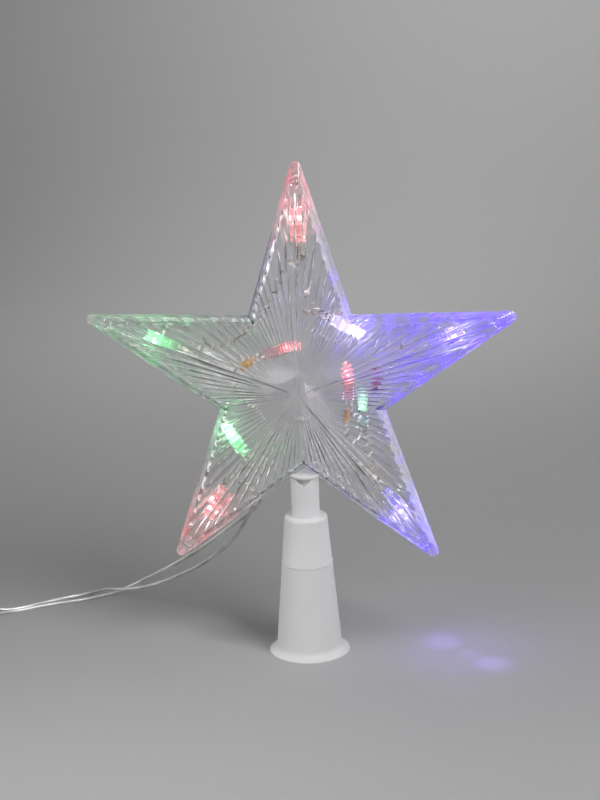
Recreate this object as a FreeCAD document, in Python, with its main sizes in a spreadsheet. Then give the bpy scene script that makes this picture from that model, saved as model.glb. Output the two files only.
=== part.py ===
# Light-up star tree topper: a clear two-shell star with ten lamps on a hollow tree cone, with its mains lead.
# Frame: millimetres, +Z up, star facing -Y, origin on the floor at the cone's axis.
import FreeCAD
import Part
import math
import os
import Sketcher
from FreeCAD import Placement, Rotation, Vector

os.makedirs("parts", exist_ok=True)
doc = FreeCAD.newDocument("StarTopper")

# ---------------------------------------------------------------- driving dimensions
SIZES = {
    # star shells, measured from the star's centre
    "star_centre_height": 139.5,
    "notch_radius": 43.0,
    "tip_centre_radius": 107.2,
    "tip_round": 2.8,
    "rim_inset": 2.5,
    "rim_depth": 4.0,
    "hub_depth": 21.0,
    "hub_share": 0.06,
    "cavity_rim_inset": 1.75,
    "cavity_shoulder_inset": 4.4,
    "cavity_shoulder_depth": 3.5,
    "cavity_hub_depth": 19.3,
    # collar that sits on the cone's neck, and its stub that turns inside the neck
    "collar_radius": 7.8,
    "collar_bottom": 92.2,
    "collar_top": 93.6,
    "collar_roof": 0.8,
    "stub_radius": 5.4,
    "stub_bottom": 79.0,
    "stub_bore": 4.2,
    # locating pins near the tips, and the lamp cradles on the rear shell
    "boss_circle": 100.0,
    "boss_radius": 2.2,
    "boss_length": 3.7,
    "pin_radius": 1.1,
    "pin_bore": 1.2,
    "pin_length": 2.4,
    "cradle_circle": 71.4,
    "cradle_width": 7.2,
    "cradle_thick": 1.2,
    "cradle_low": 7.7,
    "cradle_high": 1.0,
    "cradle_bore": 3.06,
    "lead_slot_width": 2.2,
    # tree cone
    "flange_radius": 20.1,
    "flange_thick": 1.0,
    "cone_low_radius": 16.3,
    "cone_low_height": 5.0,
    "cone_top_radius": 10.8,
    "cone_top_height": 69.0,
    "shoulder_height": 72.0,
    "neck_radius": 7.0,
    "neck_bore": 5.6,
    "neck_top": 92.0,
    "neck_notch_depth": 3.9,
    "cone_wall": 1.5,
    "grip_ring_height": 47.0,
    "grip_ring_proud": 0.3,
    # lamps
    "bulb_radius": 2.5,
    "bulb_flange_radius": 2.65,
    "bulb_flange_thick": 1.0,
    "bulb_length": 8.6,
    "bulb_leg_radius": 0.25,
    "bulb_leg_length": 4.5,
    "leg_offset": 1.27,
    "holder_radius": 3.0,
    "holder_bore": 2.7,
    "holder_lip": 2.0,
    "holder_back": 9.0,
    "holder_pocket": 5.5,
    "holder_pocket_radius": 2.2,
    "sleeve_radius": 1.6,
    "sleeve_bore": 0.65,
    "sleeve_length": 6.4,
    # wires and lead
    "inner_wire_radius": 0.55,
    "lead_radius": 0.9,
    "coil_mean_radius": 9.6,
    "coil_width": 9.2,
    "coil_layer_height": 9.2,
    # plug
    "plug_width": 35.0,
    "plug_thick": 13.8,
    "plug_length": 34.0,
    "plug_tail_width": 11.0,
    "plug_tail_thick": 9.0,
    "plug_pin_radius": 2.0,
    "plug_pin_length": 19.0,
    "plug_pin_spacing": 19.0,
}

sheet = doc.addObject("Spreadsheet::Sheet", "Sizes")
for row, (alias, value) in enumerate(SIZES.items(), start=1):
    sheet.set("A%d" % row, alias)
    sheet.set("B%d" % row, str(value))
    sheet.setAlias("B%d" % row, alias)
doc.recompute()


def size(alias):
    return float(getattr(sheet, alias))


STAR_HEIGHT = size("star_centre_height")
ARM_STEP = 72.0
made = []


# ---------------------------------------------------------------- small helpers
def new_body(label):
    body = doc.addObject("PartDesign::Body", label)
    body.Label = label
    made.append(body)
    return body


def origin_item(body, role):
    return [item for item in body.Origin.OriginFeatures if item.Role == role][0]


def new_sketch(body, plane, name, offset=None):
    sketch = body.newObject("Sketcher::SketchObject", name)
    sketch.AttachmentSupport = (origin_item(body, plane), "")
    sketch.MapMode = "FlatFace"
    if offset:
        sketch.setExpression("AttachmentOffset.Base.z", offset)
    return sketch


def closed_profile(sketch, points, bound=()):
    """Straight closed outline through points; bound lists (point index, axis letter, expression)."""
    count = len(points)
    for index, start in enumerate(points):
        end = points[(index + 1) % count]
        sketch.addGeometry(Part.LineSegment(Vector(start[0], start[1], 0), Vector(end[0], end[1], 0)), False)
    for index in range(count):
        sketch.addConstraint(Sketcher.Constraint("Coincident", index, 2, (index + 1) % count, 1))
    for index, axis, expression in bound:
        value = points[index][0] if axis == "X" else points[index][1]
        if abs(value) < 1e-9:
            sketch.addConstraint(Sketcher.Constraint("PointOnObject", index, 1, -2 if axis == "X" else -1))
            continue
        number = sketch.addConstraint(Sketcher.Constraint("Distance" + axis, -1, 1, index, 1, value))
        sketch.setExpression("Constraints[%d]" % number, expression)


def revolve(body, sketch, name):
    turned = body.newObject("PartDesign::Revolution", name)
    turned.Profile = sketch
    turned.ReferenceAxis = (origin_item(body, "Z_Axis"), [""])
    turned.Angle = 360.0
    return turned


def primitive(body, kind, name, sizes, placement):
    feature = body.newObject("PartDesign::" + kind, name)
    feature.Placement = placement
    for key, expression in sizes.items():
        feature.setExpression(key, expression)
    return feature


def on_every_arm(body, kind, name, sizes, placement):
    """Make a primitive on the upper arm and copy it to all five, about the star's own centre axis."""
    feature = primitive(body, kind, name, sizes, placement)
    pattern = body.newObject("PartDesign::PolarPattern", name + "_arms")
    pattern.Originals = [feature]
    pattern.Axis = (origin_item(body, "Y_Axis"), [""])
    pattern.Angle = 360.0
    pattern.Occurrences = 5
    body.Tip = pattern


def tube(points, radius, name):
    """Solid round tube: straight runs joined by tangent arcs as large as the runs allow."""
    corners = [Vector(*point) for point in points]
    edges = []
    radii = []
    start = corners[0]
    for index in range(1, len(corners) - 1):
        here = corners[index]
        back = corners[index - 1] - here
        ahead = corners[index + 1] - here
        reach = 0.45 * min(back.Length, ahead.Length)
        turn = math.pi - back.getAngle(ahead)
        bend = reach / math.tan(turn / 2.0)
        back.normalize()
        ahead.normalize()
        first = here + back * reach
        last = here + ahead * reach
        inward = back + ahead
        inward.normalize()
        middle = here + inward * (bend / math.cos(turn / 2.0) - bend)
        edges.append(Part.LineSegment(start, first).toShape())
        edges.append(Part.Arc(first, middle, last).toShape())
        radii.append(bend)
        start = last
    edges.append(Part.LineSegment(start, corners[-1]).toShape())
    path = Part.Wire(edges)
    heading = corners[1] - corners[0]
    section = Part.Wire([Part.makeCircle(radius, corners[0], heading)])
    solid = path.makePipeShell([section], True, False)
    solid = Part.Solid(solid) if solid.ShapeType != "Solid" else solid
    expected = math.pi * radius * radius * path.Length
    print("%s: length %.1f, tightest arc %.1f, volume ratio %.4f"
          % (name, path.Length, min(radii), abs(solid.Volume) / expected))
    return solid


def add_tube(label, points, radius):
    feature = doc.addObject("Part::Feature", label)
    feature.Label = label
    feature.Shape = tube(points, radius, label)
    made.append(feature)
    return feature


# ---------------------------------------------------------------- star shells
def edge_distance():
    """Distance from the star's centre to each straight edge of the outline."""
    notch = size("notch_radius")
    centre = size("tip_centre_radius")
    rise = notch * math.sin(math.radians(36.0))
    run = centre - notch * math.cos(math.radians(36.0))
    half_angle = math.atan2(rise, run) - math.asin(size("tip_round") / math.hypot(rise, run))
    return size("tip_round") + centre * math.sin(half_angle)


def star_points(share):
    """Each arm's notch point, tip centre, tip radius and the angles where that round starts and ends."""
    notch = size("notch_radius") * share
    centre = size("tip_centre_radius") * share
    curve = size("tip_round") * share
    rise = notch * math.sin(math.radians(36.0))
    run = centre - notch * math.cos(math.radians(36.0))
    half_angle = math.atan2(rise, run) - math.asin(curve / math.hypot(rise, run))
    arms = []
    for arm in range(5):
        axis = math.radians(90.0 + ARM_STEP * arm)
        middle = Vector(centre * math.cos(axis), centre * math.sin(axis), 0)
        notch_angle = axis - math.radians(36.0)
        before = Vector(notch * math.cos(notch_angle), notch * math.sin(notch_angle), 0)
        spread = math.pi / 2.0 - half_angle
        arms.append((before, middle, curve, axis - spread, axis + spread))
    return arms


def star_sketch(body, name, share, share_text, offset):
    """Star outline with rounded tips, shrunk about its centre to keep every edge parallel."""
    sketch = new_sketch(body, "XZ_Plane", name, offset)
    arms = star_points(share)
    for arm, (notch, middle, curve, first, last) in enumerate(arms):
        low = middle + Vector(math.cos(first), math.sin(first), 0) * curve
        high = middle + Vector(math.cos(last), math.sin(last), 0) * curve
        after = arms[(arm + 1) % 5][0]
        circle = Part.Circle(middle, Vector(0, 0, 1), curve)
        sketch.addGeometry(Part.LineSegment(notch, low), False)
        sketch.addGeometry(Part.ArcOfCircle(circle, first, last), False)
        sketch.addGeometry(Part.LineSegment(high, after), False)
    guides = []
    for text in ("notch_radius", "tip_centre_radius"):
        guide = sketch.addGeometry(Part.Circle(Vector(0, 0, 0), Vector(0, 0, 1), size(text) * share), True)
        sketch.addConstraint(Sketcher.Constraint("Coincident", guide, 3, -1, 1))
        number = sketch.addConstraint(Sketcher.Constraint("Radius", guide, size(text) * share))
        sketch.setExpression("Constraints[%d]" % number, "Sizes.%s * %s" % (text, share_text))
        guides.append(guide)
    for arm in range(5):
        rising = 3 * arm
        curve = rising + 1
        falling = rising + 2
        sketch.addConstraint(Sketcher.Constraint("Tangent", rising, 2, curve, 1))
        sketch.addConstraint(Sketcher.Constraint("Tangent", curve, 2, falling, 1))
        sketch.addConstraint(Sketcher.Constraint("Coincident", falling, 2, (falling + 1) % 15, 1))
        sketch.addConstraint(Sketcher.Constraint("PointOnObject", rising, 1, guides[0]))
        sketch.addConstraint(Sketcher.Constraint("PointOnObject", curve, 3, guides[1]))
        sketch.addConstraint(Sketcher.Constraint("Equal", rising, falling))
        if arm:
            sketch.addConstraint(Sketcher.Constraint("Equal", 0, rising))
            sketch.addConstraint(Sketcher.Constraint("Equal", 1, curve))
    number = sketch.addConstraint(Sketcher.Constraint("Radius", 1, size("tip_round") * share))
    sketch.setExpression("Constraints[%d]" % number, "Sizes.tip_round * %s" % share_text)
    sketch.addConstraint(Sketcher.Constraint("PointOnObject", 1, 3, -2))
    return sketch


def inset_share(alias):
    share = 1.0 - size(alias) / edge_distance()
    return share, "(1 - Sizes.%s / %.5f)" % (alias, edge_distance())


def star_loft(body, kind, name, sections):
    sketches = []
    for index, (share, text, offset) in enumerate(sections):
        sketches.append(star_sketch(body, "%s_section_%d" % (name, index), share, text, offset))
    loft = body.newObject("PartDesign::" + kind, name)
    loft.Profile = sketches[0]
    loft.Sections = sketches[1:]
    loft.Ruled = True
    return loft


def star_shell(label, rear):
    """One clear half: built facing -Y about the star's centre, and turned about Z for the rear half."""
    body = new_body(label)
    hub = (size("hub_share"), "Sizes.hub_share", "Sizes.hub_depth")
    outer = [(1.0, "1", None), inset_share("rim_inset") + ("Sizes.rim_depth",), hub]
    star_loft(body, "AdditiveLoft", label + "_outside", outer)
    inner_hub = (size("hub_share"), "Sizes.hub_share", "Sizes.cavity_hub_depth")
    inner = [
        inset_share("cavity_rim_inset") + (None,),
        inset_share("cavity_shoulder_inset") + ("Sizes.cavity_shoulder_depth",),
        inner_hub,
    ]
    star_loft(body, "SubtractiveLoft", label + "_cavity", inner)
    add_collar(body, label)
    add_bosses(body, label, rear)
    cut_lead_slot(body, label, rear)
    body.Placement = Placement(Vector(0, 0, STAR_HEIGHT), Rotation(Vector(0, 0, 1), 180.0 if rear else 0.0))
    body.setExpression("Placement.Base.z", "Sizes.star_centre_height")
    return body


def half_round(body, kind, name, radius, low, high):
    """Half cylinder on the -Y side, standing along Z between two heights above the floor."""
    placement = Placement(Vector(0, 0, 0), Rotation(Vector(0, 0, 1), 180.0))
    sizes = {
        "Radius": radius,
        "Height": "%s - (%s)" % (high, low),
        "Placement.Base.z": "%s - Sizes.star_centre_height" % low,
    }
    feature = primitive(body, kind, name, sizes, placement)
    feature.Angle = 180.0
    return feature


def add_collar(body, label):
    half_round(body, "AdditiveCylinder", label + "_collar", "Sizes.collar_radius",
               "Sizes.collar_bottom", "Sizes.collar_top")
    half_round(body, "SubtractiveCylinder", label + "_neck_room", "(Sizes.neck_radius + 0.15)",
               "(Sizes.neck_top - 4)", "Sizes.collar_bottom")
    half_round(body, "AdditiveCylinder", label + "_stub", "Sizes.stub_radius",
               "Sizes.stub_bottom", "(Sizes.collar_bottom + 1)")
    half_round(body, "SubtractiveCylinder", label + "_stub_bore", "Sizes.stub_bore",
               "(Sizes.stub_bottom - 1)", "(Sizes.collar_top - Sizes.collar_roof)")


def add_bosses(body, label, rear):
    """Round boss near each tip: a socket in the front shell and a pin on the rear shell."""
    forward = Placement(Vector(0, 0, 0), Rotation(Vector(1, 0, 0), 90.0))
    backward = Placement(Vector(0, 0, 0), Rotation(Vector(1, 0, 0), -90.0))
    on_arm = {"Placement.Base.z": "Sizes.boss_circle"}
    boss_sizes = dict(on_arm, Radius="Sizes.boss_radius", Height="Sizes.boss_length")
    pin_sizes = dict(on_arm, Radius="Sizes.pin_radius", Height="Sizes.pin_length")
    socket_sizes = dict(on_arm, Radius="Sizes.pin_bore", Height="Sizes.pin_length + 0.2")
    on_every_arm(body, "AdditiveCylinder", label + "_boss", boss_sizes, forward)
    if rear:
        on_every_arm(body, "AdditiveCylinder", label + "_pin", pin_sizes, backward)
        add_cradles(body, label)
    else:
        on_every_arm(body, "SubtractiveCylinder", label + "_socket", socket_sizes, forward)


def add_cradles(body, label):
    """Forked rib in each arm that carries its lamp holder."""
    rib_sizes = {
        "Length": "Sizes.cradle_width",
        "Height": "Sizes.cradle_thick",
        "Width": "Sizes.cradle_low - Sizes.cradle_high",
        "Placement.Base.x": "-Sizes.cradle_width / 2",
        "Placement.Base.y": "-Sizes.cradle_low",
        "Placement.Base.z": "Sizes.cradle_circle",
    }
    groove_sizes = {
        "Radius": "Sizes.cradle_bore",
        "Height": "Sizes.cradle_thick + 1",
        "Placement.Base.z": "Sizes.cradle_circle - 0.5",
    }
    on_every_arm(body, "AdditiveBox", label + "_cradle", rib_sizes, Placement())
    on_every_arm(body, "SubtractiveCylinder", label + "_cradle_groove", groove_sizes, Placement())


def cut_lead_slot(body, label, rear):
    """Slot in the seam of one lower arm, where the two lead wires come out."""
    (first_x, first_z), (last_x, last_z) = LEAD_EXITS
    mirror = -1.0 if rear else 1.0
    slope = math.degrees(math.atan2(first_z - last_z, first_x - last_x))
    tilt = Rotation(Vector(0, 1, 0), -mirror * slope)
    centre = Vector(mirror * (first_x + last_x) / 2.0, 0, (first_z + last_z) / 2.0)
    corner = centre + tilt.multVec(Vector(-SLOT_LENGTH / 2.0, -size("lead_slot_width") / 2.0, -SLOT_REACH))
    slot = primitive(body, "SubtractiveBox", label + "_lead_slot",
                     {"Width": "Sizes.lead_slot_width / 2 + 1"}, Placement(corner, tilt))
    slot.Length = SLOT_LENGTH
    slot.Height = 2.0 * SLOT_REACH
    body.Tip = slot


# Where the two wires cross the seam: x and z from the star's centre, on the edge of the lower left arm.
LEAD_EXITS = ((-22.4, -59.8), (-26.4, -62.8))
SLOT_LENGTH = 8.4
SLOT_REACH = 3.2

star_shell("front_shell", rear=False)
star_shell("rear_shell", rear=True)


# ---------------------------------------------------------------- tree cone
def tree_cone():
    body = new_body("tree_cone")
    sketch = new_sketch(body, "XZ_Plane", "cone_profile")
    flange = size("flange_radius")
    low = size("cone_low_radius")
    top = size("cone_top_radius")
    low_z = size("cone_low_height")
    top_z = size("cone_top_height")
    wall = size("cone_wall")
    ring_z = size("grip_ring_height")
    shoulder = size("shoulder_height")
    slope = (top - low) / (top_z - low_z)

    def outside(height):
        return low + slope * (height - low_z)

    proud = size("grip_ring_proud")
    points = [
        (flange, 0.0), (flange, size("flange_thick")), (low + 1.1, 2.2), (low + 0.2, 3.8), (low, low_z),
        (outside(ring_z), ring_z), (outside(ring_z) + proud, ring_z + 0.4),
        (outside(ring_z) + proud, ring_z + 1.2), (outside(ring_z + 1.6), ring_z + 1.6),
        (top, top_z), (top - 0.5, top_z + 1.7), (top - 1.6, shoulder - 0.3), (top - 2.4, shoulder),
        (size("neck_radius"), shoulder), (size("neck_radius"), size("neck_top") - 0.7),
        (size("neck_radius") - 0.6, size("neck_top")), (size("neck_bore"), size("neck_top")),
        (size("neck_bore"), shoulder - wall), (top - wall - 0.6, shoulder - wall),
        (top - wall, top_z - 0.4), (low - wall, low_z), (low - wall + 0.5, 3.0), (flange - 2.0, 0.0),
    ]
    bound = [
        (0, "X", "Sizes.flange_radius"), (0, "Y", "0"),
        (1, "X", "Sizes.flange_radius"), (1, "Y", "Sizes.flange_thick"),
        (2, "X", "Sizes.cone_low_radius + 1.1"), (2, "Y", "2.2"),
        (3, "X", "Sizes.cone_low_radius + 0.2"), (3, "Y", "3.8"),
        (4, "X", "Sizes.cone_low_radius"), (4, "Y", "Sizes.cone_low_height"),
        (5, "Y", "Sizes.grip_ring_height"), (6, "Y", "Sizes.grip_ring_height + 0.4"),
        (7, "Y", "Sizes.grip_ring_height + 1.2"), (8, "Y", "Sizes.grip_ring_height + 1.6"),
        (9, "X", "Sizes.cone_top_radius"), (9, "Y", "Sizes.cone_top_height"),
        (13, "X", "Sizes.neck_radius"), (13, "Y", "Sizes.shoulder_height"),
        (14, "X", "Sizes.neck_radius"), (15, "Y", "Sizes.neck_top"),
        (16, "X", "Sizes.neck_bore"), (16, "Y", "Sizes.neck_top"),
        (17, "X", "Sizes.neck_bore"), (17, "Y", "Sizes.shoulder_height - Sizes.cone_wall"),
    ]
    closed_profile(sketch, points, bound)
    revolve(body, sketch, "cone_turned")
    corner = Vector(0, -2.0 * size("neck_radius"), size("neck_top") - size("neck_notch_depth"))
    notch = primitive(body, "SubtractiveBox", "neck_notch",
                      {"Length": "2 * Sizes.neck_notch_depth", "Height": "2 * Sizes.neck_notch_depth",
                       "Width": "4 * Sizes.neck_radius", "Placement.Base.y": "-2 * Sizes.neck_radius",
                       "Placement.Base.z": "Sizes.neck_top - Sizes.neck_notch_depth"},
                      Placement(corner, Rotation(Vector(0, 1, 0), -45.0)))
    body.Tip = notch


tree_cone()


# ---------------------------------------------------------------- lamps
def turn_for(direction):
    """Rotation about Y that carries +Z to a direction given as (x, z)."""
    return Rotation(Vector(0, 1, 0), math.degrees(math.atan2(direction[0], direction[1])))


def arm_direction(angle):
    return math.cos(math.radians(angle)), math.sin(math.radians(angle))


def tip_lamp(angle, circle):
    """A lamp on an arm's centre line, its base at a distance from the star's centre."""
    along = arm_direction(angle)
    return (circle * along[0], 0.0, circle * along[1]), along


# name: (base of the bulb from the star's centre, direction of its dome in x and z)
LAMPS = {
    "tip_top": tip_lamp(90.0, 79.5),
    "tip_left": tip_lamp(162.0, 71.5),
    "tip_lower_left": tip_lamp(234.0, 76.0),
    "tip_lower_right": tip_lamp(306.0, 77.0),
    "tip_right": tip_lamp(18.0, 75.0),
    "notch_left": ((-34.0, 0.0, -27.8), (-0.5, 0.866)),
    "notch_right": ((24.0, 0.0, 28.0), (0.882, -0.471)),
    "hub_upper": ((-9.0, -4.0, 18.7), (0.943, 0.334)),
    "hub_side": ((23.1, -5.0, 3.0), (0.0, 1.0)),
    "hub_lower": ((29.6, 1.0, -13.0), (0.0, 1.0)),
}


def lamp_placement(name):
    (x, y, z), direction = LAMPS[name]
    return Placement(Vector(x, y, z + STAR_HEIGHT), turn_for(direction))


def bulb(name):
    body = new_body("bulb_" + name)
    sketch = new_sketch(body, "XZ_Plane", "bulb_profile_" + name)
    radius = size("bulb_radius")
    flange = size("bulb_flange_radius")
    thick = size("bulb_flange_thick")
    length = size("bulb_length")
    dome = length - radius
    corners = [(0, dome), (0, 0), (flange, 0), (flange, thick), (radius, thick), (radius, dome)]
    for start, end in zip(corners[:-1], corners[1:]):
        sketch.addGeometry(Part.LineSegment(Vector(start[0], start[1], 0), Vector(end[0], end[1], 0)), False)
    circle = Part.Circle(Vector(0, dome, 0), Vector(0, 0, 1), radius)
    arc = sketch.addGeometry(Part.ArcOfCircle(circle, 0.0, math.pi / 2.0), False)
    apex = sketch.addGeometry(Part.LineSegment(Vector(0, length, 0), Vector(0, dome, 0)), False)
    for first in range(4):
        sketch.addConstraint(Sketcher.Constraint("Coincident", first, 2, first + 1, 1))
    sketch.addConstraint(Sketcher.Constraint("Coincident", 4, 2, arc, 1))
    sketch.addConstraint(Sketcher.Constraint("Coincident", arc, 2, apex, 1))
    sketch.addConstraint(Sketcher.Constraint("Coincident", apex, 2, 0, 1))
    sketch.addConstraint(Sketcher.Constraint("Coincident", 0, 2, -1, 1))
    sketch.addConstraint(Sketcher.Constraint("Coincident", arc, 3, 0, 1))
    sketch.addConstraint(Sketcher.Constraint("Vertical", 0))
    sketch.addConstraint(Sketcher.Constraint("Vertical", apex))
    sketch.addConstraint(Sketcher.Constraint("Horizontal", 1))
    sketch.addConstraint(Sketcher.Constraint("Vertical", 2))
    sketch.addConstraint(Sketcher.Constraint("Horizontal", 3))
    sketch.addConstraint(Sketcher.Constraint("Vertical", 4))
    for kind, item, value, text in (
        ("Radius", (arc,), radius, "Sizes.bulb_radius"),
        ("Distance", (1,), flange, "Sizes.bulb_flange_radius"),
        ("Distance", (2,), thick, "Sizes.bulb_flange_thick"),
        ("Distance", (0,), dome, "Sizes.bulb_length - Sizes.bulb_radius"),
    ):
        number = sketch.addConstraint(Sketcher.Constraint(kind, item[0], value))
        sketch.setExpression("Constraints[%d]" % number, text)
    revolve(body, sketch, "bulb_turned_" + name)
    for side in (-1, 1):
        sizes = {
            "Radius": "Sizes.bulb_leg_radius",
            "Height": "Sizes.bulb_leg_length + 0.2",
            "Placement.Base.x": "%d * Sizes.leg_offset" % side,
            "Placement.Base.z": "-Sizes.bulb_leg_length",
        }
        primitive(body, "AdditiveCylinder", "bulb_leg_%s_%d" % (name, (side + 1) // 2), sizes, Placement())
    body.Placement = lamp_placement(name)


def holder(name):
    body = new_body("holder_" + name)
    sketch = new_sketch(body, "XZ_Plane", "holder_profile_" + name)
    radius = size("holder_radius")
    bore = size("holder_bore")
    back = -size("holder_back")
    lip = size("holder_lip")
    pocket = -size("holder_pocket")
    pocket_radius = size("holder_pocket_radius")
    points = [
        (0, back), (radius - 1.0, back), (radius, back + 1.4), (radius, lip), (bore, lip),
        (bore, 0), (pocket_radius, 0), (pocket_radius, pocket), (0, pocket),
    ]
    bound = [
        (0, "X", "0"), (1, "X", "Sizes.holder_radius - 1.0"), (2, "X", "Sizes.holder_radius"),
        (3, "X", "Sizes.holder_radius"), (3, "Y", "Sizes.holder_lip"),
        (4, "X", "Sizes.holder_bore"), (4, "Y", "Sizes.holder_lip"),
        (5, "X", "Sizes.holder_bore"), (5, "Y", "0"),
        (6, "X", "Sizes.holder_pocket_radius"), (6, "Y", "0"),
        (7, "X", "Sizes.holder_pocket_radius"), (8, "X", "0"),
    ]
    closed_profile(sketch, points, bound)
    revolve(body, sketch, "holder_turned_" + name)
    body.Placement = lamp_placement(name)


for lamp_name in LAMPS:
    bulb(lamp_name)
    holder(lamp_name)


# ---------------------------------------------------------------- wires inside the star
def port(name, side, out):
    """Point on a lamp's wire port, a distance behind the holder, from the star's centre."""
    place = lamp_placement(name)
    point = place.multVec(Vector(side * size("leg_offset"), 0, -size("holder_back") - out))
    return point - Vector(0, 0, STAR_HEIGHT)


def at_star(points):
    """Points from the star's centre, moved to the part's own frame."""
    return [(point[0], point[1], point[2] + STAR_HEIGHT) for point in points]


def exit_point(index):
    return LEAD_EXITS[index][0], 0.0, LEAD_EXITS[index][1]


# label: (start, its straight run, end, its straight run, points between)
# A start or an end is a lamp and the side of its port, or the number of a lead exit.
WIRES = {
    "wire_lead_in": (0, 0.0, ("notch_left", 1), 8.0, [(-24.0, 0.2, -52.8)]),
    "wire_01": (("notch_left", -1), 7.0, ("hub_upper", 1), 15.0,
                [(-21.0, 3.5, -43.0), (-16.5, 4.0, -33.0), (-19.0, 4.5, -18.0), (-30.0, 3.0, -6.0),
                 (-34.0, -1.0, 4.0)]),
    "wire_02": (("hub_upper", -1), 14.0, ("tip_left", -1), 8.0, [(-40.0, -2.0, 12.0)]),
    "wire_03": (("tip_left", 1), 10.0, ("tip_top", -1), 9.0,
                [(-37.0, 1.5, 19.5), (-21.5, 0.5, 28.6), (-13.5, 0.0, 41.5), (-8.6, 0.0, 54.0)]),
    "wire_04": (("tip_top", 1), 9.0, ("notch_right", -1), 14.0, [(3.0, 1.0, 50.5)]),
    "wire_05": (("notch_right", 1), 14.0, ("tip_right", -1), 8.0,
                [(0.0, 4.0, 32.0), (6.0, 8.0, 23.0), (20.0, 9.0, 17.0), (36.0, 6.0, 18.5)]),
    "wire_06": (("tip_right", 1), 10.0, ("hub_side", 1), 7.5,
                [(41.0, 1.0, 7.4), (33.4, -3.0, -2.6), (31.8, -5.0, -13.0), (29.6, -5.0, -15.7),
                 (26.5, -5.0, -15.7)]),
    "wire_07": (("hub_side", -1), 20.0, ("hub_lower", -1), 4.0, [(23.7, -3.2, -28.6), (26.4, -0.8, -28.6)]),
    "wire_08": (("hub_lower", 1), 9.0, ("tip_lower_right", -1), 8.0, [(33.0, 0.5, -39.0)]),
    "wire_09": (("tip_lower_right", 1), 10.0, ("tip_lower_left", 1), 10.0,
                [(20.0, 4.0, -33.0), (9.0, 8.0, -21.0), (-7.0, 9.0, -20.0), (-17.0, 8.0, -28.0),
                 (-26.5, 5.0, -40.0)]),
    "wire_lead_out": (("tip_lower_left", -1), 7.0, 1, 0.0, [(-29.6, 1.0, -50.6), (-26.2, 0.6, -55.6)]),
}


def wire_route(label):
    start, start_run, end, end_run, between = WIRES[label]
    route = []
    if isinstance(start, int):
        route.append(exit_point(start))
    else:
        route += [port(start[0], start[1], 0.0), port(start[0], start[1], start_run)]
    route += [Vector(*point) for point in between]
    if isinstance(end, int):
        route.append(exit_point(end))
    else:
        route += [port(end[0], end[1], end_run), port(end[0], end[1], 0.0)]
    return at_star(route)


for wire_label in WIRES:
    add_tube(wire_label, wire_route(wire_label), size("inner_wire_radius"))


# ---------------------------------------------------------------- dropper resistors in their sleeves
def sleeve(label, route, run, share):
    """Sleeve round the straight run of a wire; share says how far along that run its middle is."""
    body = new_body(label)
    sketch = new_sketch(body, "XZ_Plane", label + "_profile")
    outer = size("sleeve_radius")
    bore = size("sleeve_bore")
    half = size("sleeve_length") / 2.0
    points = [(bore, -half), (outer - 0.5, -half), (outer, 0.6 - half), (outer, half - 0.6),
              (outer - 0.5, half), (bore, half)]
    bound = [(0, "X", "Sizes.sleeve_bore"), (2, "X", "Sizes.sleeve_radius"), (3, "X", "Sizes.sleeve_radius"),
             (4, "Y", "Sizes.sleeve_length / 2"), (5, "X", "Sizes.sleeve_bore"),
             (5, "Y", "Sizes.sleeve_length / 2")]
    closed_profile(sketch, points, bound)
    revolve(body, sketch, label + "_turned")
    start = Vector(*route[run])
    end = Vector(*route[run + 1])
    middle = start + (end - start) * share
    body.Placement = Placement(middle, Rotation(Vector(0, 0, 1), end - start))


sleeve("resistor_sleeve_left", wire_route("wire_01"), -2 + len(wire_route("wire_01")), 0.40)
sleeve("resistor_sleeve_side", wire_route("wire_07"), 0, 0.42)
sleeve("resistor_sleeve_right", wire_route("wire_06"), 2, 0.55)


# ---------------------------------------------------------------- mains lead
# Two separate wires lie loosely from the star's seam to the floor behind it, then run side by side to a coil.
LEAD_A = [
    (-22.4, 0.0, 79.7), (-23.4, 3.0, 76.6), (-27.0, 8.0, 71.8), (-34.6, 15.6, 64.0), (-44.6, 24.0, 54.4),
    (-56.6, 34.6, 42.4), (-68.4, 45.4, 31.8), (-79.2, 54.8, 23.0), (-89.4, 63.4, 15.2), (-98.0, 71.4, 8.4),
    (-105.6, 75.8, 3.4), (-113.2, 74.0, 0.95), (-121.4, 67.4, 0.95), (-130.0, 62.2, 0.95),
    (-139.2, 58.8, 0.95), (-148.0, 54.6, 0.95), (-156.6, 48.9, 0.95), (-165.6, 44.4, 0.95),
    (-175.4, 40.6, 0.95), (-185.6, 35.6, 1.1), (-195.4, 33.2, 2.4),
]
LEAD_B = [
    (-26.4, 0.0, 76.7), (-27.4, 2.8, 73.6), (-30.4, 8.4, 67.6), (-36.6, 18.2, 55.4), (-44.2, 28.2, 45.0),
    (-52.8, 37.6, 35.6), (-61.6, 46.0, 27.0), (-72.0, 54.4, 19.4), (-84.0, 62.6, 11.8), (-95.6, 68.6, 6.2),
    (-107.2, 70.8, 4.0), (-118.6, 72.4, 3.6), (-128.6, 70.8, 1.05), (-136.6, 67.0, 0.95),
    (-144.6, 61.6, 0.95), (-152.8, 55.4, 0.95), (-161.0, 49.8, 0.95), (-169.2, 46.2, 1.4),
    (-177.2, 43.0, 5.4), (-185.0, 38.8, 11.2), (-196.2, 33.4, 13.0),
]
COIL_CENTRE = (-199.7, 42.8)
PLUG_TAIL = (-226.0, 33.2)
PLUG_AXIS_HEIGHT = size("plug_thick") / 2.0


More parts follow.
